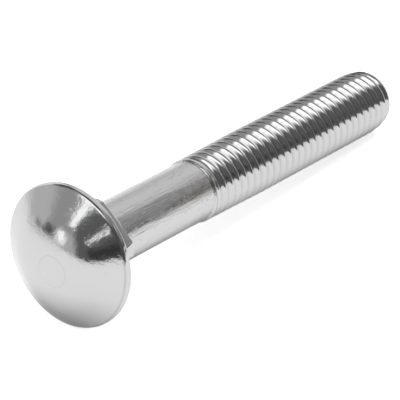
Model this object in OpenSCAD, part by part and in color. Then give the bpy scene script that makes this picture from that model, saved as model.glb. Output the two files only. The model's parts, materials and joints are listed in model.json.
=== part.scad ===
// Carriage bolt lying on a table: domed head with a faint off-centre cut-off flat, square neck,
// plain shank rolled down to the pitch diameter, and a long right-hand thread with a rounded tip.
// Millimetres. X runs from the head to the tip, Z is up, and the table is the plane z = 0.

/* [Head] */
// Widest diameter of the head
head_d = 26.2; // [20:0.1:40]
// From the widest circle back to the bearing face under the head
rim_back = 1.1; // [0.8:0.05:3]
// Rounding where the dome turns over into the rim
rim_front_r = 0.6; // [0.2:0.05:1.2]
// Rounding between the rim and the bearing face
rim_back_r = 0.45; // [0.1:0.05:0.7]
// Slope of the conical flank of the dome
flank_angle = 35.5; // [25:0.5:45]
// Radius at which the conical flank begins
flank_in_r = 9.3; // [7:0.1:10]
// Radius of the shallow sphere in the middle of the dome
dome_r = 21; // [15:0.5:60]
// Radius at which the shallow sphere ends
dome_out_r = 4.8; // [3.5:0.1:6.5]
// Diameter of the flat that the wire cut-off leaves on the dome
flat_d = 5.1; // [2:0.1:6]
// How far that flat lies from the axis
flat_off = 1.15; // [0:0.05:2]
// Which way it lies, turned about the axis from +Y towards +Z
flat_angle = 211; // [0:1:360]

/* [Square neck] */
// Width across the flats
neck_w = 12.6; // [11.6:0.1:16]
// Length under the head
neck_len = 7.1; // [3:0.1:12]
// Rounding of the four long edges
neck_edge_r = 1.9; // [0.5:0.1:2.4]
// Across the corners at the far end, where the die pinches them in
neck_end_d = 15.4; // [14.4:0.1:17]
// How the neck is turned about the axis
neck_angle = 38; // [0:1:90]

/* [Shank and length] */
// Length from the bearing face to the tip
length = 88.9; // [70:0.1:120]
// Plain shank diameter
shank_d = 11.3; // [10.6:0.05:12]
// Cone that leads from the neck into the shank
neck_cone = 0.7; // [0.3:0.05:2]

/* [Thread] */
// Diameter over the crests
thread_d = 12.5; // [12.1:0.05:13.5]
// Diameter at the roots
root_d = 10.3; // [9.6:0.05:10.9]
// Advance a turn (13 turns to the inch)
pitch = 1.9538; // [1.5:0.0001:2.2]
// Length of the thread from its run-out to the tip
thread_len = 56.1; // [20:0.1:62]
// Crest width as a share of the pitch
crest_share = 0.125; // [0.08:0.005:0.2]
// Diameter over the first crest, which the dies fill less
first_crest_d = 11.9; // [11.5:0.05:12]
// Turns until the crest is full
fill_turns = 8; // [1:1:12]
// Angle at which the first crest leaves the shank, turned from +Y towards +Z
thread_angle = 12; // [0:1:360]

/* [Tip] */
// Length over which the tip is rounded
tip_len = 5.8; // [2:0.1:9]
// Diameter of the flat end
tip_d = 10.2; // [7:0.1:10.2]

/* [Hidden] */
steel = [0.72, 0.73, 0.75];
round_fn = 96;
// steps along the arcs of the dome and the rim
dome_steps = 6;
knee_steps = 10;
rim_steps = 6;
// facets round the helical loft, and how deep it and the neck are rooted in what carries them
turn_steps = 32;
root_in = 0.5;
ring_inset = 0.03;
big = 4 * (head_d + length);
tiny = 0.001;

// Dome profile, read from the rim inwards; y is the station along the axis from the bearing face
head_r = head_d / 2;
wide_y = -rim_back;
cone_out_r = head_r - rim_front_r * (1 - sin(flank_angle));
cone_out_y = wide_y - rim_front_r * cos(flank_angle);
cone_in_y = cone_out_y - (cone_out_r - flank_in_r) * tan(flank_angle);
dome_angle = asin(dome_out_r / dome_r);
knee_r = (flank_in_r - dome_out_r) / (sin(flank_angle) - sin(dome_angle));
knee_x = flank_in_r - knee_r * sin(flank_angle);
knee_y = cone_in_y + knee_r * cos(flank_angle);
dome_end_y = knee_y - knee_r * cos(dome_angle);
dome_y = dome_end_y + dome_r * cos(dome_angle);
crown_y = dome_y - dome_r;
flat_tilt = asin(flat_off / dome_r);
flat_sag = dome_r - sqrt(dome_r * dome_r - flat_d * flat_d / 4);

// Thread section: crest, flank, root, flank, as stations within one pitch
thread_y = length - thread_len;
crest_r = thread_d / 2;
root_r = root_d / 2;
shank_r = shank_d / 2;
crest_w = crest_share * pitch;
flank_w = (crest_r - root_r) * tan(30);
section = [0, crest_w, crest_w + flank_w, pitch - flank_w];
rows = 4 * (ceil(thread_len / pitch) + 2);
tip_y = length - tip_len;

function blend(a, b, t) = a + (b - a) * min(1, max(0, t));

// Rounded tip: a quarter ellipse from the full crest to the flat end
function tip_r(y) = y <= tip_y ? crest_r
    : tip_d / 2 + (crest_r - tip_d / 2) * sqrt(max(0, 1 - pow((y - tip_y) / tip_len, 2)));

// Crest: rises off the shank within half a turn, then fills up slowly
function crest_at(y) = min(tip_r(y),
    y < thread_y + pitch / 2
    ? blend(shank_r, first_crest_d / 2, (y - thread_y) / (pitch / 2))
    : blend(first_crest_d / 2, crest_r, (y - thread_y - pitch / 2) / (fill_turns * pitch)));

// Root: sinks from the shank to its full depth over the first turn and a half
function root_at(y) = min(tip_r(y), blend(shank_r, root_r, (y - thread_y) / (1.5 * pitch)));

// How far the bolt leans, so that the rim's rounding and the last crests both touch the table
low_turn = (270 - thread_angle) / 360;
crest_stations = [for (k = [-1 : ceil(thread_len / pitch)]) thread_y + (k + low_turn) * pitch + crest_w];
rim_round = head_r - rim_back_r;
function lean(y) = let (drop = rim_round - crest_at(y), run = y + rim_back_r)
    acos(-rim_back_r / norm([drop, run])) - atan2(run, drop);
rest = min([for (y = crest_stations) if (y > thread_y && y < length) lean(y)]);
lift = rim_round * cos(rest) + rim_back_r * (1 - sin(rest));
front_x = dome_y * cos(rest) - dome_r;
back_x = length * cos(rest) + tip_d / 2 * sin(rest);
mid_x = (front_x + back_x) / 2;

// Points of an arc about [x, y], with the angle taken from the way to the head
function arc(x, y, r, from, to, steps) =
    [for (i = [0 : steps]) let (a = from + (to - from) * i / steps) [x + r * sin(a), y - r * cos(a)]];

// Head and shank turned as one, from the top of the dome to the end of the plain shank
module turned() {
    rotate_extrude($fn = round_fn) polygon(concat(
        [[0, crown_y]],
        arc(0, dome_y, dome_r, dome_angle / dome_steps, dome_angle, dome_steps - 1),
        arc(knee_x, knee_y, knee_r, dome_angle, flank_angle, knee_steps),
        arc(head_r - rim_front_r, wide_y, rim_front_r, flank_angle, 90, rim_steps),
        arc(head_r - rim_back_r, -rim_back_r, rim_back_r, 90, 180, rim_steps),
        [[shank_r + neck_cone / 2, 0], [shank_r + neck_cone / 2, neck_len],
        [shank_r, neck_len + neck_cone], [shank_r, thread_y], [0, thread_y]]));
}

// Cut of the flat that the wire cut-off leaves, tilted a little to one side
module cut_off() {
    translate([0, 0, dome_y])
        rotate([0, 0, flat_angle])
            rotate([0, -flat_tilt, 0])
                translate([0, 0, flat_sag - dome_r - big / 2]) cube(big, center = true);
}

// Square neck with rounded edges, pinched in by a cone at its far end and rooted in the head
module neck() {
    inner = neck_w - 2 * neck_edge_r;
    across = sqrt(2) * inner + 2 * neck_edge_r;
    intersection() {
        translate([0, 0, -root_in]) linear_extrude(neck_len + root_in) {
            square([neck_w, inner], center = true);
            square([inner, neck_w], center = true);
            for (i = [-1, 1], j = [-1, 1])
                translate([i * inner / 2, j * inner / 2]) circle(neck_edge_r, $fn = round_fn);
        }
        rotate_extrude($fn = round_fn) polygon([[0, -2 * root_in], [across, -2 * root_in],
            [across - neck_end_d / 2, 0], [neck_end_d / 2, neck_len], [0, neck_len]]);
    }
}

// One row of the loft lies a fixed share of the pitch after the row before it
function row_y(k, j) = thread_y + pitch * (floor(k / 4) - 1 + j / turn_steps) + section[k % 4];
function row_r(k, y) = k % 4 < 2 ? crest_at(y) : root_at(y);

// Number of a loft point: points past either end fall together on that end's ring
function index(k, j) = j == turn_steps ? index(k + 4, 0)
    : row_y(k, j) <= thread_y + tiny ? j
    : row_y(k, j) >= length - tiny ? turn_steps + j
    : 3 * turn_steps + k * turn_steps + j;

function distinct(f) = f[0] != f[1] && f[1] != f[2] && f[0] != f[2];

// Stations and radii of the flat rings: run-out, tip and the one rooted in the shank
rings = [[thread_y + tiny, shank_r - ring_inset], [length, tip_d / 2],
    [thread_y - root_in, shank_r - ring_inset - root_in / 2]];

// Helical thread as a loft of its section round the axis, closed by a flat ring at each end
module thread() {
    n = turn_steps;
    step = 360 / n;
    ends = [for (e = rings, j = [0 : n - 1]) [e[1] * cos(step * j), e[1] * sin(step * j), e[0]]];
    grid = [for (k = [0 : rows + 3], j = [0 : n - 1])
        let (y = min(length, max(thread_y, row_y(k, j))), r = row_r(k, y))
        [r * cos(step * j), r * sin(step * j), y]];
    helix = [for (k = [0 : rows - 1], j = [0 : n - 1])
        let (a = index(k, j), b = index(k, j + 1), c = index(k + 1, j + 1), d = index(k + 1, j))
        each [[a, c, b], [a, d, c]]];
    root = [for (j = [0 : n - 1])
        let (a = 2 * n + j, b = 2 * n + (j + 1) % n) each [[a, (j + 1) % n, b], [a, j, (j + 1) % n]]];
    caps = [[for (j = [0 : n - 1]) 2 * n + j], [for (j = [n - 1 : -1 : 0]) n + j]];
    polyhedron(points = concat(ends, grid),
        faces = concat([for (f = helix) if (distinct(f)) f], root, caps), convexity = 4);
}

module bolt() {
    color(steel)
    translate([-mid_x, 0, lift])
    rotate([0, rest, 0])
    rotate([90, 0, 90]) {
        difference() {
            turned();
            cut_off();
        }
        rotate([0, 0, neck_angle]) neck();
        rotate([0, 0, thread_angle]) thread();
    }
}

bolt();
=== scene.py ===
"""Looks of a bright zinc-plated carriage bolt that lies on a pale table.

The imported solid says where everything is. The finer surface of the real bolt, with its rounded and seamed
crests and the marks that heading and rolling leave, is worked out here as one closed mesh that stands for the
solid. The bolt's own coordinates are millimetres: station along the axis from the bearing face towards the
tip, across towards +Y, and up square to both. Angles about the axis run from across towards up.
"""

import json
import logging
import math
from dataclasses import dataclass, field
from typing import Any

import bpy
import numpy as np
from mathutils import Matrix, Vector


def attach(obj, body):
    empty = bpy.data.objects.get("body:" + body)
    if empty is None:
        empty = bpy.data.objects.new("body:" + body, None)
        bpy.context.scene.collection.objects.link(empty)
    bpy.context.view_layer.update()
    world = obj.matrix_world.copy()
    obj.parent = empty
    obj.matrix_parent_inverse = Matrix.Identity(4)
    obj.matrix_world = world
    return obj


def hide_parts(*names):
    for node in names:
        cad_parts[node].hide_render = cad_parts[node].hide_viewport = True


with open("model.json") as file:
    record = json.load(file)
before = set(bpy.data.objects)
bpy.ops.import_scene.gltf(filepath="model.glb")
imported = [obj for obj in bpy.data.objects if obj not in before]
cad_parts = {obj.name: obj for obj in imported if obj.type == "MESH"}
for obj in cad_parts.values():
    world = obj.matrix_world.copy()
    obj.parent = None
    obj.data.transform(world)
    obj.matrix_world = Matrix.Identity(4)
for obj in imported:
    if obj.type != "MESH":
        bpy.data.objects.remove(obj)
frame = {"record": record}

MM = 0.001
TINY = 1e-4
log = logging.getLogger("bolt")


def smooth_max(a: np.ndarray, b: np.ndarray | float, reach: float) -> np.ndarray:
    """Larger of two values, with the corner between them rounded.

    Where the two differ by less than reach, the result is their larger value plus
    (reach - difference) squared over 4 * reach, which meets both without a kink.

    Args:
        a: First values.
        b: Second values.
        reach: Difference at which the rounding begins.

    Returns:
        The rounded maximum.
    """
    near = np.clip(reach - np.abs(a - b), 0, None)
    return np.maximum(a, b) + near * near / (4 * reach)


def smooth_min(a: np.ndarray, b: np.ndarray | float, reach: float) -> np.ndarray:
    """Smaller of two values with a rounded corner, as smooth_max of their negatives."""
    return -smooth_max(-a, -np.asarray(b), reach)


def ease(low: float, high: float, value: np.ndarray) -> np.ndarray:
    """Goes from 0 to 1 as value goes from low to high, as 3t squared minus 2t cubed."""
    t = np.clip((value - low) / (high - low), 0, 1)
    return t * t * (3 - 2 * t)


@dataclass(frozen=True)
class Lie:
    """Where the bolt lies: the middle of its bearing face, and its own three directions."""

    seat: np.ndarray
    along: np.ndarray
    across: np.ndarray
    up: np.ndarray

    @classmethod
    def from_record(cls, record: dict[str, Any]) -> "Lie":
        """Reads the lie from the mount on the bearing face, which is set off across the axis.

        Args:
            record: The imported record.

        Returns:
            The lie, in metres.
        """
        face = next(m for m in record["mounts"] if m["name"] == "bearing_face")
        along = np.array(face["axis"], float)
        along /= np.linalg.norm(along)
        across = np.array([0.0, 1.0, 0.0])
        seat = np.array(face["pos_m"], float) * (1 - across)
        return cls(seat, along, across, np.cross(along, across))

    def place(self, points: np.ndarray) -> np.ndarray:
        """Takes points given as (across, up, station) in millimetres into the frame, in metres."""
        return self.seat + MM * points @ np.stack([self.across, self.up, self.along])


@dataclass(frozen=True)
class Head:
    """Domed head, as rings from the middle of its flat to the foot of its rim."""

    diameter: float = 26.2
    # the rim: its widest circle, and the roundings in front of it and behind it
    rim_back: float = 1.023
    rim_front_r: float = 0.75
    rim_back_r: float = 0.6
    front_rings: int = 8
    back_rings: int = 8
    # the dome: a sphere, a knee and a cone
    flank_slope: float = math.radians(35.5)
    flank_in_r: float = 9.3
    dome_r: float = 21.0
    dome_out_r: float = 4.8
    knee_rings: int = 12
    flank_rings: int = 10
    flank_gap: float = 0.3
    # the flat of the wire cut-off, the rings close round its edge, and how far they drift off the axis
    flat_r: float = 2.55
    flat_off: float = 1.15
    flat_turn: float = math.radians(211)
    flat_rings: int = 6
    edge_gaps: tuple[float, ...] = (0.12, 0.35, 0.7, 1.1, 1.6)
    knee_gap: float = 2.25
    edge_round: float = 0.012
    drift_out: float = 3.2

    @property
    def cone_out_r(self) -> float:
        """Radius at which the conical flank passes over into the rim's front rounding."""
        return self.diameter / 2 - self.rim_front_r * (1 - math.sin(self.flank_slope))

    @property
    def flat_middle(self) -> tuple[float, float]:
        """Middle of the flat, across and up from the axis."""
        return self.flat_off * math.cos(self.flat_turn), self.flat_off * math.sin(self.flat_turn)

    def crown(self, radius: np.ndarray) -> np.ndarray:
        """Station of the crown at a distance from the axis.

        A shallow sphere in the middle passes over an arc tangent to it into a cone, and the cone ends
        where the rounding of the rim begins.

        Args:
            radius: Distances from the axis.

        Returns:
            Stations, which are negative in front of the bearing face.
        """
        s, c = math.sin(self.flank_slope), math.cos(self.flank_slope)
        cone_out_y = -self.rim_back - self.rim_front_r * c
        cone_in_y = cone_out_y - (self.cone_out_r - self.flank_in_r) * s / c
        dome_s = self.dome_out_r / self.dome_r
        dome_c = math.sqrt(1 - dome_s**2)
        knee_r = (self.flank_in_r - self.dome_out_r) / (s - dome_s)
        knee_x = self.flank_in_r - knee_r * s
        knee_y = cone_in_y + knee_r * c
        dome_y = knee_y - knee_r * dome_c + self.dome_r * dome_c
        dome = dome_y - np.sqrt(np.clip(self.dome_r**2 - radius**2, 0, None))
        knee = knee_y - np.sqrt(np.clip(knee_r**2 - (radius - knee_x) ** 2, 0, None))
        cone = cone_in_y + (radius - self.flank_in_r) * s / c
        return np.where(radius < self.dome_out_r, dome, np.where(radius < self.flank_in_r, knee, cone))

    def flat(self, across: np.ndarray, up: np.ndarray) -> np.ndarray:
        """Station of the plane of the cut-off flat, which touches the sphere's cap all round its rim."""
        tilt = math.asin(self.flat_off / self.dome_r)
        towards = across * math.cos(self.flat_turn) + up * math.sin(self.flat_turn)
        depth = math.sqrt(self.dome_r**2 - self.flat_r**2)
        centre = self.crown(np.zeros(1))[0] + self.dome_r
        return centre - (depth - math.sin(tilt) * towards) / math.cos(tilt)

    def rings(self, turn: np.ndarray) -> np.ndarray:
        """Rings of the crown and the rim.

        Inside the flat the rings are centred on it, and further out they drift back to the axis, so
        that the flat's edge follows a ring.

        Args:
            turn: Angles of the columns.

        Returns:
            Points (rings, columns, 3) as (across, up, station).
        """
        size = np.concatenate([
            np.linspace(0, self.flat_r, self.flat_rings + 1)[1:],
            self.flat_r + np.array(self.edge_gaps),
            np.linspace(self.flat_r + self.knee_gap, self.flank_in_r, self.knee_rings),
            np.linspace(self.flank_in_r + self.flank_gap, self.cone_out_r, self.flank_rings)])
        drift = self.flat_off * (1 - ease(self.flat_r, self.flat_r + self.drift_out, size))
        across = size[:, None] * np.cos(turn) + (drift * math.cos(self.flat_turn))[:, None]
        up = size[:, None] * np.sin(turn) + (drift * math.sin(self.flat_turn))[:, None]
        station = smooth_max(self.crown(np.hypot(across, up)), self.flat(across, up), self.edge_round)
        crown = np.stack([across, up, station], -1)
        front = np.linspace(self.flank_slope, math.pi / 2, self.front_rings + 1)[1:]
        back = np.linspace(math.pi / 2, math.pi, self.back_rings)
        edge = np.concatenate([
            np.stack([self.diameter / 2 - self.rim_front_r * (1 - np.sin(front)),
                      -self.rim_back - self.rim_front_r * np.cos(front)], -1),
            np.stack([self.diameter / 2 - self.rim_back_r * (1 - np.sin(back)),
                      -self.rim_back_r * (1 + np.cos(back))], -1)])
        return np.concatenate([crown, turned(edge, turn)])


def turned(profile: np.ndarray, turn: np.ndarray) -> np.ndarray:
    """Turns a profile of (radius, station) rows round the axis.

    Args:
        profile: Rows of radius and station, each a number or an array over the columns.
        turn: Angles of the columns.

    Returns:
        Points (rows, columns, 3) as (across, up, station).
    """
    radius, station = profile[:, 0, None], profile[:, 1, None]
    return np.stack([radius * np.cos(turn), radius * np.sin(turn), station + 0 * turn], -1)


@dataclass(frozen=True)
class Neck:
    """Square neck with rounded edges, from the foot of the head's rim to the plain shank."""

    width: float = 12.6
    length: float = 7.1
    edge_r: float = 1.9
    end_r: float = 7.7
    turn: float = math.radians(38)
    # the fillet under the head, the square's rings, and how softly its corners are pinched in
    fillet: float = 0.35
    fillet_steps: int = 5
    face_shares: tuple[float, ...] = (0.06, 0.4, 0.8, 0.97)
    side_gap: float = 0.15
    side_rings: int = 14
    pinch_round: float = 0.12
    # the square's far end and the cone from its foot down to the shank
    end_round: float = 0.22
    end_steps: int = 5
    end_shares: tuple[float, ...] = (0.15, 0.85)
    cone: float = 0.7
    cone_rise: float = 0.35
    cone_shares: tuple[float, ...] = (0.15, 0.5, 0.85, 1.0)
    foot_out: tuple[float, float] = (0.12, 0.08)
    foot_along: float = 0.04

    def outline(self, turn: np.ndarray) -> np.ndarray:
        """Distance from the axis to a square with rounded corners.

        A ray meets the flat at half the width over the cosine of its angle from the flat's middle, or
        else the corner's circle, as the larger root of its quadratic.

        Args:
            turn: Angles of the columns.

        Returns:
            Distances over the columns.
        """
        angle = np.abs((turn - self.turn + math.pi / 4) % (math.pi / 2) - math.pi / 4)
        corner = self.width / 2 - self.edge_r
        side = self.width / 2 / np.cos(angle)
        reach = corner * (np.cos(angle) + np.sin(angle))
        bend = reach + np.sqrt(np.clip(self.edge_r**2 - 2 * corner**2 + reach**2, 0, None))
        return np.where(side * np.sin(angle) > corner, bend, side)

    def rings(self, turn: np.ndarray, rim_foot: float, shank_r: float) -> np.ndarray:
        """Rings of the bearing face, the fillet under the head, the square, its end and the cone.

        Args:
            turn: Angles of the columns.
            rim_foot: Radius at which the bearing face begins.
            shank_r: Radius of the plain shank.

        Returns:
            Points (rings, columns, 3).
        """
        square = self.outline(turn)
        rows = []
        for share in self.face_shares:
            rows.append((rim_foot + (square + self.fillet - rim_foot) * share, 0.0))
        for lean in np.linspace(0, math.pi / 2, self.fillet_steps):
            rows.append((square + self.fillet * (1 - math.sin(lean)), self.fillet * (1 - math.cos(lean))))
        across = math.sqrt(2) * (self.width - 2 * self.edge_r) + 2 * self.edge_r
        fade = (across - 2 * self.end_r) / self.length
        low, high = self.fillet + self.side_gap, self.length - self.end_round
        for station in np.linspace(low, high, self.side_rings):
            pinch = self.end_r + fade * (self.length - station)
            rows.append((smooth_min(square, pinch, self.pinch_round), station))
        end = smooth_min(square, self.end_r, self.pinch_round)
        for lean in np.linspace(0, math.pi / 2, self.end_steps + 1)[1:]:
            rows.append((end - self.end_round * (1 - math.cos(lean)),
                         self.length - self.end_round * (1 - math.sin(lean))))
        foot = shank_r + self.cone_rise
        inner = end - self.end_round
        for share in self.end_shares:
            rows.append((inner + (foot + self.foot_out[0] - inner) * share, self.length))
        rows.append((foot + self.foot_out[1] + 0 * turn, self.length + self.foot_along))
        for share in self.cone_shares:
            rows.append((foot - self.cone_rise * share + 0 * turn, self.length + self.cone * share))
        return np.stack([np.stack([r * np.cos(turn), r * np.sin(turn), y + 0 * turn], -1) for r, y in rows])


@dataclass(frozen=True)
class Thread:
    """Rolled right-hand thread, from the end of the plain shank to the ring of the flat tip."""

    start: float = 32.7
    end: float = 88.9
    pitch: float = 1.9538
    turn: float = math.radians(12)
    # the section: its radii, its crest as a share of the pitch, its flanks and its rounded corners
    crest_r: float = 6.25
    root_r: float = 5.15
    crest_share: float = 0.125
    flank: float = math.radians(35)
    root_round: float = 0.2
    crest_round: float = 0.36
    # the run-out: a short cone, a low first crest with a seam, and turns until root and crest are full
    shoulder: float = 0.36
    first_crest_r: float = 6.0
    fill_turns: float = 8.0
    sink_turns: tuple[float, float] = (0.05, 1.2)
    seam_depth: float = 0.09
    seam_turns: float = 0.6
    # the rounded tip
    tip_len: float = 5.8
    tip_r: float = 5.1
    # rows from a crest to the next root, as shares of the crest, past the crest's edge, and of the pitch
    crest_rows: tuple[float, ...] = (0.0, 0.6)
    flank_rows: tuple[float, ...] = (0.01, 0.05, 0.12)
    root_rows: tuple[float, ...] = (0.36, 0.44)

    @property
    def rows_a_turn(self) -> int:
        """Rows of one turn: the root's own, and those of its two sides without the crest's twice."""
        return 2 * (len(self.crest_rows) + len(self.flank_rows) + len(self.root_rows))

    def tip(self, station: np.ndarray) -> np.ndarray:
        """Quarter ellipse from the full crest to the flat end."""
        share = np.clip((station - self.end + self.tip_len) / self.tip_len, 0, 1)
        return self.tip_r + (self.crest_r - self.tip_r) * np.sqrt(1 - share**2)

    def crest(self, station: np.ndarray, shank_r: float) -> np.ndarray:
        """Crest radius: a short cone up to the start, then a slow fill to the full crest, then the tip."""
        rise = (self.first_crest_r - shank_r) * np.clip((station - self.start) / self.shoulder + 1, 0, 1)
        fill = (station - self.start) / (self.fill_turns * self.pitch)
        grow = (self.crest_r - self.first_crest_r) * np.clip(fill, 0, 1)
        return np.minimum(shank_r + rise + grow, self.tip(station))

    def root(self, station: np.ndarray, shank_r: float) -> np.ndarray:
        """Root radius, which sinks from the shoulder to full depth over little more than a turn."""
        sunk = ease(*self.sink_turns, (station - self.start) / self.pitch)
        open_r = self.crest(station, shank_r)
        return np.minimum(open_r - (open_r - self.root_r) * sunk, self.tip(station))

    def groove(self, points: np.ndarray, shank_r: float) -> np.ndarray:
        """How deep each point lies in the thread, from 0 on a crest to 1 on a root."""
        station = points[:, 2]
        depth = self.crest(station, shank_r) - np.hypot(points[:, 0], points[:, 1])
        return np.clip(depth / (self.crest_r - self.root_r), 0, 1) * (station > self.start)

    def grid(self, turn: np.ndarray, shank_r: float) -> tuple[np.ndarray, np.ndarray]:
        """Points of the helical surface.

        Every column is moved on by pitch times its angle over a full turn, so each row is a helix. The
        flank is the straight line that leaves the full crest's edge, cut off by the crest and the root
        at that station with rounded corners. Where the first crests aren't full, a row in their middle
        dips, which leaves the seam that rolling closes last.

        Args:
            turn: Angles of the columns.
            shank_r: Radius of the plain shank.

        Returns:
            The points (rows, columns, 3) and their unclipped stations (rows, columns).
        """
        turns = math.ceil((self.end - self.start) / self.pitch) + 2  # one turn more at either end
        lead = self.pitch * ((turn - self.turn) / (2 * math.pi))
        first = self.start + self.pitch * (np.arange(-1, turns)[:, None, None]) + lead
        full = self.crest_share / 2
        spread = math.tan(self.flank) / self.pitch
        edge = full + (self.crest_r - self.crest(first, shank_r)) * spread
        half = [edge * k for k in self.crest_rows] + [edge + k for k in self.flank_rows]
        half += [k + 0 * edge for k in self.root_rows]
        share = np.concatenate(half + [0 * edge + 0.5] + [1 - h for h in half[:0:-1]], axis=1)
        station = first + self.pitch * share
        from_crest = np.minimum(share, 1 - share)
        flank = self.crest_r - (from_crest - full) / spread
        low = self.root(station, shank_r)
        high = self.crest(station, shank_r)
        radius = smooth_min(smooth_max(flank, low, self.root_round), high, self.crest_round)
        unfilled = np.clip((self.crest_r - high) / (self.crest_r - self.first_crest_r), 0, 1)
        unfilled = unfilled * (station < self.end - self.tip_len)
        dip = self.seam_depth * unfilled * ease(0.0, self.seam_turns, (station - self.start) / self.pitch)
        radius = np.minimum(radius - dip * (from_crest < TINY), self.tip(station))
        station, radius = (v.reshape(-1, len(turn)) for v in (station, radius))
        flat = np.clip(station, self.start, self.end)
        return np.stack([radius * np.cos(turn), radius * np.sin(turn), flat], -1), station


@dataclass
class Bolt:
    """The whole bolt as one closed mesh that stands for the solid."""

    lie: Lie
    head: Head = field(default_factory=Head)
    neck: Neck = field(default_factory=Neck)
    thread: Thread = field(default_factory=Thread)
    shank_r: float = 5.65
    columns: int = 192
    shank_gap: float = 0.15
    shank_rings: int = 6
    shoulder_shares: tuple[float, ...] = (-0.5, 0, 0.14, 0.86, 1)
    end_gap: float = 0.1
    end_radii: tuple[float, ...] = (3.4, 1.7)

    def turn(self) -> np.ndarray:
        """Angles of the columns."""
        return np.linspace(0, 2 * math.pi, self.columns, endpoint=False)

    def plain_rings(self) -> np.ndarray:
        """Rings from the head's flat to the end of the plain shank."""
        turn = self.turn()
        head = self.head.rings(turn)
        rim_foot = self.head.diameter / 2 - self.head.rim_back_r
        neck = self.neck.rings(turn, rim_foot, self.shank_r)
        low, high = self.neck.length + self.neck.cone, self.thread.start - self.thread.shoulder
        cone = high + self.thread.shoulder * np.array(self.shoulder_shares)
        plain = np.linspace(low, high, self.shank_rings + 2)[1:-1]
        stations = np.concatenate([[low + self.shank_gap], plain, cone])
        shank = turned(np.stack([self.thread.crest(stations, self.shank_r), stations], -1), turn)
        return np.concatenate([head, neck, shank])

    def end_rings(self) -> np.ndarray:
        """Rings of the flat end, from its edge inwards."""
        radius = np.array([self.thread.tip_r, self.thread.tip_r - self.end_gap, *self.end_radii])
        return turned(np.stack([radius, self.thread.end + 0 * radius], -1), self.turn())

    def surface(self) -> tuple[np.ndarray, np.ndarray]:
        """Joins rings, helix and end into one skin.

        Neighbouring rows are joined by two triangles a cell. A point of the helix that falls past
        either end is replaced by the point of that end's ring in its column, a column past the last is
        column 0 one turn on, and triangles that lose a corner by this are dropped.

        Returns:
            Points (n, 3) in the bolt's own millimetres, and triangles (m, 3).
        """
        n = self.columns
        plain, end = self.plain_rings(), self.end_rings()
        helix, station = self.thread.grid(self.turn(), self.shank_r)
        poles = np.array([[0, 0, 0], [0, 0, self.thread.end]], float)
        poles[0, :2] = self.head.flat_middle
        poles[0, 2] = self.head.flat(poles[0, 0], poles[0, 1])
        points = np.concatenate([part.reshape(-1, 3) for part in (poles, plain, end, helix)])
        plain_at = 2 + np.arange(len(plain) * n).reshape(-1, n)
        end_at = plain_at.max() + 1 + np.arange(len(end) * n).reshape(-1, n)
        helix_at = end_at.max() + 1 + np.arange(len(helix) * n).reshape(-1, n)
        helix_at = np.where(station <= self.thread.start + TINY, plain_at[-1], helix_at)
        helix_at = np.where(station >= self.thread.end - TINY, end_at[0], helix_at)
        pole_rows = [np.full((1, n), i) for i in (0, 1)]
        closed = [np.concatenate([rows, rows[:, :1]], axis=1) for rows in (
            np.concatenate([pole_rows[0], plain_at]), np.concatenate([end_at, pole_rows[1]]))]
        step = self.thread.rows_a_turn
        closed.append(np.concatenate([helix_at[:-step], helix_at[step:, :1]], axis=1))
        cells = []
        for rows in closed:
            a, b, c, d = rows[:-1, :-1], rows[:-1, 1:], rows[1:, 1:], rows[1:, :-1]
            cells += [np.stack([a, b, c], -1).reshape(-1, 3), np.stack([a, c, d], -1).reshape(-1, 3)]
        faces = np.concatenate(cells)
        whole = (faces != np.roll(faces, 1, axis=1)).all(axis=1)
        used, faces = np.unique(faces[whole], return_inverse=True)
        return points[used], faces.reshape(-1, 3)

    def build(self) -> bpy.types.Object:
        """Makes the mesh object, with each point's depth in the thread as the attribute "groove"."""
        points, faces = self.surface()
        mesh = bpy.data.meshes.new("carriage_bolt")
        mesh.vertices.add(len(points))
        mesh.vertices.foreach_set("co", self.lie.place(points).astype(np.float32).ravel())
        mesh.loops.add(faces.size)
        mesh.loops.foreach_set("vertex_index", faces.astype(np.int32).ravel())
        mesh.polygons.add(len(faces))
        mesh.polygons.foreach_set("loop_start", np.arange(0, faces.size, 3, dtype=np.int32))
        mesh.polygons.foreach_set("use_smooth", np.ones(len(faces), bool))
        groove = mesh.attributes.new("groove", "FLOAT", "POINT")
        groove.data.foreach_set("value", self.thread.groove(points, self.shank_r).astype(np.float32))
        mesh.update(calc_edges=True)
        mesh.validate()
        bolt = bpy.data.objects.new("carriage_bolt", mesh)
        bpy.context.scene.collection.objects.link(bolt)
        return bolt


class Value:
    """A shader socket that takes part in arithmetic: each operator adds its Math node."""

    def __init__(self, sheet: "Shader", socket: Any) -> None:
        """Wraps a node's output socket."""
        self.sheet = sheet
        self.socket = socket

    def __add__(self, other: Any) -> "Value":
        """Sum."""
        return self.sheet.math("ADD", self, other)

    __radd__ = __add__

    def __sub__(self, other: Any) -> "Value":
        """Difference."""
        return self.sheet.math("SUBTRACT", self, other)

    def __rsub__(self, other: Any) -> "Value":
        """Difference from a number."""
        return self.sheet.math("SUBTRACT", other, self)

    def __mul__(self, other: Any) -> "Value":
        """Product."""
        return self.sheet.math("MULTIPLY", self, other)

    __rmul__ = __mul__

    def ease(self, low: float, high: float) -> "Value":
        """Smooth step from 0 at low to 1 at high."""
        return self.sheet.node("ShaderNodeMapRange", {"interpolation_type": "SMOOTHSTEP"}, {
            "Value": self, "From Min": low, "From Max": high})

    def near(self, middle: float, reach: float) -> "Value":
        """Falls smoothly from 1 at the middle to 0 at reach to either side of it."""
        return 1 - self.sheet.math("ABSOLUTE", self - middle).ease(0.0, reach)

    def within(self, middle: float, half: float, soft: float) -> "Value":
        """1 within half of the middle and 0 outside, with an edge that is soft to either side."""
        return 1 - self.sheet.math("ABSOLUTE", self - middle).ease(half - soft, half + soft)


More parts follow.
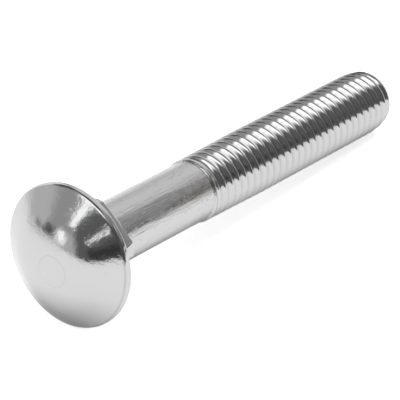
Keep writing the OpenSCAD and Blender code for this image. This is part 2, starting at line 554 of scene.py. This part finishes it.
class Shader:
    """Node tree of one material or of the world, filled by expressions."""

    def __init__(self, tree: bpy.types.NodeTree) -> None:
        """Empties the tree."""
        self.tree = tree
        tree.nodes.clear()

    def node(self, kind: str, settings: dict[str, Any] | None = None,
             inputs: dict[Any, Any] | None = None, output: Any = 0) -> Value:
        """Adds a node.

        Args:
            kind: The node's type.
            settings: Properties that are set first.
            inputs: Values or links by socket name or number.
            output: Name or number of the output that is returned.

        Returns:
            The chosen output.
        """
        node = self.tree.nodes.new(kind)
        for name, value in (settings or {}).items():
            setattr(node, name, value)
        for name, value in (inputs or {}).items():
            if isinstance(value, Value):
                self.tree.links.new(value.socket, node.inputs[name])
            else:
                node.inputs[name].default_value = value
        return Value(self, node.outputs[output] if len(node.outputs) else None)

    def math(self, operation: str, *values: Any) -> Value:
        """Adds one Math node over the given values."""
        return self.node("ShaderNodeMath", {"operation": operation}, dict(enumerate(values)))

    def length(self, a: Value, b: Value) -> Value:
        """Length of a vector from its two parts at right angles."""
        squares = self.math("POWER", a, 2.0) + self.math("POWER", b, 2.0)
        return self.math("POWER", squares, 0.5)

    def outputs(self, value: Value, names: tuple[Any, ...]) -> list[Value]:
        """Several outputs of the node that a value comes from."""
        return [Value(self, value.socket.node.outputs[name]) for name in names]

    def mix(self, factor: Any, a: Any, b: Any) -> Value:
        """Mixes two colours; the Mix node has its colours at inputs 6 and 7 and output 2."""
        return self.node("ShaderNodeMix", {"data_type": "RGBA"}, {0: factor, 6: a, 7: b}, 2)


def grey(level: float) -> tuple[float, float, float, float]:
    """Neutral colour of one linear level."""
    return (level, level, level, 1.0)


@dataclass(frozen=True)
class Pattern:
    """Noise on the metal: its cycles a millimetre across and along the axis, and its octaves."""

    across: float
    along: float
    detail: float
    roughness: float

    def noise(self, sheet: Shader, place: tuple[Value, Value, Value]) -> Value:
        """Adds the noise, from 0 to 1, at a place given as (across, up, station)."""
        across, up, station = place
        at = sheet.node("ShaderNodeCombineXYZ", None, {
            0: across * self.across, 1: up * self.across, 2: station * self.along})
        return sheet.node("ShaderNodeTexNoise", None, {
            "Vector": at, "Scale": 1.0, "Detail": self.detail, "Roughness": self.roughness})


@dataclass(frozen=True)
class Plating:
    """Bright zinc plating over cold-formed steel; lengths are millimetres."""

    # colours: clean, scraped (also laid on the rim's crease as painted shade), stained brown, and painted
    # shade in the thread's grooves
    colour: tuple[float, float, float, float] = (0.68, 0.68, 0.685, 1.0)
    scraped_and_shade: tuple[float, float, float, float] = (0.52, 0.52, 0.52, 1.0)
    stain: tuple[float, float, float, float] = (0.60, 0.58, 0.53, 1.0)
    groove_shade_colour: tuple[float, float, float, float] = (0.33, 0.33, 0.32, 1.0)
    # stations between which each region begins or ends
    head_out: tuple[float, float] = (-1.6, -0.6)
    shank_in: tuple[float, float] = (6.7, 7.2)
    shank_out: tuple[float, float] = (32.5, 32.9)
    thread_in: tuple[float, float] = (32.5, 33.5)
    # patterns, and how deep each one is
    streaks: Pattern = Pattern(1.5, 0.11, 5.0, 0.62)
    mottling: Pattern = Pattern(0.55, 0.55, 5.0, 0.6)
    grain: Pattern = Pattern(5.0, 2.2, 3.0, 0.6)
    spots: Pattern = Pattern(1.9, 1.5, 2.0, 0.5)
    dents: Pattern = Pattern(1.7, 1.2, 3.0, 0.6)
    streak_depth: float = 0.12
    pit_depth: float = 0.05
    mottle_depth: float = 0.05
    grain_depth: float = 0.003
    dent_depth: float = 0.008
    pit_levels: tuple[float, float] = (0.66, 0.74)
    # roughness all over, and what shank, thread, mottling and pits add to it
    roughness: float = 0.07
    shank_roughness: float = 0.02
    thread_roughness: float = 0.04
    mottle_roughness: float = 0.10
    pit_roughness: float = 0.2
    # ring round the cut-off flat: how far outside its edge, how wide and deep, and how uneven
    ring_out: float = 0.3
    ring_width: float = 0.14
    ring_depth: float = 0.012
    ring_wobble: float = 1.2
    # painted shade along the crease where the rim meets the dome, which fades out on the side that its way
    # points to
    crease_shade_in: float = 0.27
    crease_shade_width: float = 0.22
    crease_shade_way: tuple[float, float] = (0.6, 0.8)
    crease_shade_fade: tuple[float, float] = (1.0, 4.0)
    # stain on one side of the shank, as (across, up) over its radius, and how far along it
    stain_way: tuple[float, float] = (-0.142, 0.104)
    stain_side: tuple[float, float] = (0.92, 0.99)
    stain_along: tuple[float, float] = (14.0, 29.0)
    stain_levels: tuple[float, float] = (0.40, 0.58)
    # how strongly the painted crease shade, pits, ring and mottling take the scraped colour, and where the
    # painted shade in the grooves lies
    crease_shade_mark: float = 0.8
    pit_mark: float = 0.5
    ring_mark: float = 0.45
    mottle_mark: float = 0.2
    mottle_levels: tuple[float, float] = (0.62, 0.8)
    groove_shade_levels: tuple[float, float] = (0.3, 0.9)
    groove_shade_share: float = 0.1
    groove_shade_grain: float = 0.5

    def place(self, sheet: Shader, lie: Lie) -> tuple[Value, Value, Value]:
        """Coordinates on the bolt as (across, up, station), from dot products with the lie's directions."""
        point = sheet.node("ShaderNodeTexCoord", None, None, "Object")
        dots = [sheet.node("ShaderNodeVectorMath", {"operation": "DOT_PRODUCT"},
                           {0: point, 1: way.tolist()}, "Value") - float(lie.seat @ way)
                for way in (lie.across, lie.up, lie.along)]
        return tuple(dot * (1 / MM) for dot in dots)

    def material(self, lie: Lie, head: Head) -> bpy.types.Material:
        """Makes the plating: drawn marks and pits on the shank, mottling on the head, grain all over, and
        painted shade in the rim's crease and the thread's grooves.

        Args:
            lie: The lie, whose directions the marks follow.
            head: The head, which carries the ring round its flat and the line along its rim.

        Returns:
            The material.
        """
        material = bpy.data.materials.new("zinc_plating")
        material.use_nodes = True
        sheet = Shader(material.node_tree)
        place = across, up, station = self.place(sheet, lie)
        on_head = 1 - station.ease(*self.head_out)
        on_shank = station.ease(*self.shank_in) * (1 - station.ease(*self.shank_out))
        streak, mottle, grain, dent, spot = (pattern.noise(sheet, place) for pattern in (
            self.streaks, self.mottling, self.grain, self.dents, self.spots))
        uneven = mottle - 0.5
        pits = spot.ease(*self.pit_levels) * on_shank

        flat_across, flat_up = head.flat_middle
        from_flat = sheet.length(across - flat_across, up - flat_up) + uneven * self.ring_wobble
        ring = from_flat.near(head.flat_r + self.ring_out, self.ring_width) * on_head
        # painted shade: a darker line in the crease where the rim meets the dome, faded out towards the upper
        # far side
        rim_crease_shade = sheet.length(across, up).near(head.diameter / 2 - self.crease_shade_in, self.crease_shade_width) * on_head
        rim_crease_shade = rim_crease_shade * (1 - (across * self.crease_shade_way[0] + up * self.crease_shade_way[1]).ease(*self.crease_shade_fade))

        on_head_height = (mottle * self.mottle_depth + dent * self.dent_depth) * on_head
        height = on_shank * streak * self.streak_depth - pits * self.pit_depth + on_head_height
        height = height + grain * self.grain_depth - ring * self.ring_depth
        normal = sheet.node("ShaderNodeBump", None, {"Height": height, "Distance": MM, "Strength": 1.0})

        rough = self.roughness + on_shank * self.shank_roughness + pits * self.pit_roughness
        rough = rough + uneven * self.mottle_roughness + station.ease(*self.thread_in) * self.thread_roughness

        side = (across * self.stain_way[0] + up * self.stain_way[1]).ease(*self.stain_side)
        stained = side * on_shank * station.ease(*self.stain_along) * mottle.ease(*self.stain_levels)
        colour = sheet.mix(stained, self.colour, self.stain)
        # the scraped colour laid on the rim's crease as painted shade
        colour = sheet.mix(rim_crease_shade * self.crease_shade_mark, colour, self.scraped_and_shade)
        dull = on_head * mottle.ease(*self.mottle_levels) * self.mottle_mark
        colour = sheet.mix(pits * self.pit_mark + ring * self.ring_mark + dull, colour, self.scraped_and_shade)
        # painted shade in the thread's grooves: darker towards the roots, patchy with the grain
        groove = sheet.node("ShaderNodeAttribute", {"attribute_name": "groove"}, None, "Fac")
        groove_shade = groove.ease(*self.groove_shade_levels) * (self.groove_shade_share + self.groove_shade_grain * grain)
        colour = sheet.mix(groove_shade, colour, self.groove_shade_colour)
        surface = sheet.node("ShaderNodeBsdfPrincipled", None, {
            "Base Color": colour, "Metallic": 1.0, "Roughness": rough, "Normal": normal}, "BSDF")
        sheet.node("ShaderNodeOutputMaterial", None, {"Surface": surface})
        return material


@dataclass(frozen=True)
class Panel:
    """A lit or dark patch of the studio, seen from the bolt: its level, and the rest in degrees."""

    azimuth: float
    elevation: float
    half_width: float
    half_height: float
    level: float
    soft: float = 4.0


@dataclass(frozen=True)
class Studio:
    """White paper in a soft tent with dark gaps: the world, the paper and the camera's background."""

    fill: float = 0.36
    panels: tuple[Panel, ...] = (
        # the dark side of the room and its reach towards the lamps, then the dark ceiling
        Panel(258, 18, 58, 30, 0.10, 9),
        Panel(198, 14, 23, 24, 0.13, 5),
        Panel(206, 7, 10, 6, 0.045, 4),
        Panel(330, 14, 16, 32, 0.26, 7),
        Panel(10, 74, 75, 13, 0.12, 6),
        Panel(0, 85, 400, 15, 0.10, 5),
        # a pale patch in the dark side, and a dark and a white streak along its horizon
        Panel(322, 26, 9, 4, 0.48, 3.0),
        Panel(318, 5, 14, 4, 0.10, 2.5),
        Panel(318, 2.5, 14, 0.8, 1.2, 0.8),
        # pale wall beyond the tip
        Panel(12, 18, 27, 44, 0.74, 12),
        # a duller and a white wall on the left, a dark thing above them, their foot, and two gaps
        Panel(110, 6, 22, 22, 0.57, 6),
        Panel(70, 0, 27, 30, 0.95, 3),
        Panel(85, 49, 36, 14, 0.10, 5),
        Panel(120, -3, 40, 5, 0.8, 6),
        Panel(127, 6, 12, 2.5, 0.26, 2.5),
        Panel(140, 10, 6, 6, 0.1, 4),
        # a grey patch low down, and a small lamp beside it
        Panel(168, 2, 9, 18, 0.52, 6),
        Panel(157, 11, 5, 8, 1.35, 4),
        # main lamp over the head, its lower strip, and a slot of light in the dark side
        Panel(180, 50.5, 32, 9, 1.7, 4),
        Panel(167, 39, 5, 8.5, 1.35, 2.5),
        Panel(197, 21.5, 1.1, 3.6, 2.3, 1.3),
    )
    # the paper: half its side in metres, its grey, and the white it adds for each kind of ray
    paper_half: float = 0.35
    paper: float = 0.9
    camera_glow: float = 0.72
    gloss_glow: float = 0.06
    # the lamp over it, in metres and watts
    lamp_height: float = 0.7
    lamp_size: float = 0.6
    lamp_power: float = 4.1

    def world(self) -> None:
        """Lights the scene by direction: a fill with panels laid over it in order."""
        world = bpy.data.worlds.new("studio")
        bpy.context.scene.world = world
        world.use_nodes = True
        sheet = Shader(world.node_tree)
        way = sheet.node("ShaderNodeTexCoord", None, None, "Generated")
        x, y, z = sheet.outputs(sheet.node("ShaderNodeSeparateXYZ", None, {0: way}), (0, 1, 2))
        degree, half_turn = 180 / math.pi, 180.0
        elevation = sheet.math("ARCSINE", z) * degree
        azimuth = sheet.math("ARCTAN2", y, x) * degree
        level: Any = grey(self.fill)
        for panel in self.panels:
            away = sheet.math("PINGPONG", azimuth - panel.azimuth, half_turn)
            inside = away.within(0.0, panel.half_width, panel.soft) * (
                elevation.within(panel.elevation, panel.half_height, panel.soft))
            level = sheet.mix(inside, level, grey(panel.level))
        rays = sheet.node("ShaderNodeLightPath", None, None, "Is Camera Ray")
        level = sheet.mix(rays, level, grey(1.0))
        background = sheet.node("ShaderNodeBackground", None, {"Color": level, "Strength": 1.0})
        sheet.node("ShaderNodeOutputWorld", None, {"Surface": background})

    def floor(self) -> bpy.types.Object:
        """Lays the paper that the bolt lies on."""
        mesh = bpy.data.meshes.new("paper")
        h = self.paper_half
        mesh.from_pydata([(-h, -h, 0), (h, -h, 0), (h, h, 0), (-h, h, 0)], [], [(0, 1, 2, 3)])
        paper = bpy.data.objects.new("paper", mesh)
        bpy.context.scene.collection.objects.link(paper)
        material = bpy.data.materials.new("paper")
        material.use_nodes = True
        sheet = Shader(material.node_tree)
        matt = sheet.node("ShaderNodeBsdfDiffuse", None, {"Color": grey(self.paper)})
        straight, glossy, through = sheet.outputs(sheet.node("ShaderNodeLightPath"), (
            "Is Camera Ray", "Is Glossy Ray", "Is Transmission Ray"))
        strength = straight * self.camera_glow + (glossy + through) * self.gloss_glow
        glow = sheet.node("ShaderNodeEmission", None, {"Color": grey(1.0), "Strength": strength})
        both = sheet.node("ShaderNodeAddShader", None, {0: matt, 1: glow})
        sheet.node("ShaderNodeOutputMaterial", None, {"Surface": both})
        mesh.materials.append(material)
        return paper

    def lamp(self) -> bpy.types.Object:
        """Hangs a soft lamp over the paper, for its brightness and the bolt's shadow."""
        data = bpy.data.lights.new("tent_lamp", "AREA")
        data.size = self.lamp_size
        data.energy = self.lamp_power
        lamp = bpy.data.objects.new("tent_lamp", data)
        bpy.context.scene.collection.objects.link(lamp)
        lamp.location = (0, 0, self.lamp_height)
        lamp.visible_glossy = False
        return lamp


@dataclass(frozen=True)
class View:
    """The camera: it looks down along the bolt from the head's end; lengths are millimetres."""

    heading: float = math.radians(37.917)
    down: float = math.radians(30.292)
    lens: float = 222.44
    clip_start: float = 10.0
    # the point on the axis that the camera is placed by, and where it is seen from there
    station: float = -1.1
    distance: float = 419.2
    head_left: float = 22.307
    head_below: float = 9.458

    def camera(self, lie: Lie) -> bpy.types.Object:
        """Places the camera by how far in front, left and below it the middle of the rim is seen.

        Args:
            lie: The bolt's lie.

        Returns:
            The camera.
        """
        sh, ch = math.sin(self.heading), math.cos(self.heading)
        sd, cd = math.sin(self.down), math.cos(self.down)
        right = np.array([sh, -ch, 0])
        forward = np.array([cd * ch, cd * sh, -sd])
        up = np.cross(right, forward)
        middle = lie.place(np.array([0, 0, self.station]))
        eye = middle - MM * (self.distance * forward - self.head_left * right - self.head_below * up)
        data = bpy.data.cameras.new("camera")
        data.lens = self.lens
        data.clip_start = MM * self.clip_start
        camera = bpy.data.objects.new("camera", data)
        bpy.context.scene.collection.objects.link(camera)
        camera.matrix_world = Matrix.Translation(Vector(eye)) @ Matrix(
            np.stack([right, up, -forward], 1)).to_4x4()
        bpy.context.scene.camera = camera
        return camera


def main() -> None:
    """Builds the bolt, its finish, the studio and the camera."""
    logging.basicConfig(level=logging.INFO, format="%(name)s: %(message)s")
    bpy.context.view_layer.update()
    bpy.context.scene.view_settings.view_transform = "Standard"
    lie = Lie.from_record(frame["record"])
    bolt = Bolt(lie)
    piece = bolt.build()
    piece.data.materials.append(Plating().material(lie, bolt.head))
    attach(piece, "root")
    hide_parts("bolt")
    log.info("bolt: %d triangles", len(piece.data.polygons))
    studio = Studio()
    studio.world()
    studio.floor()
    studio.lamp()
    log.info("studio: %d panels", len(studio.panels))
    View().camera(lie)


if __name__ == "__main__":
    main()
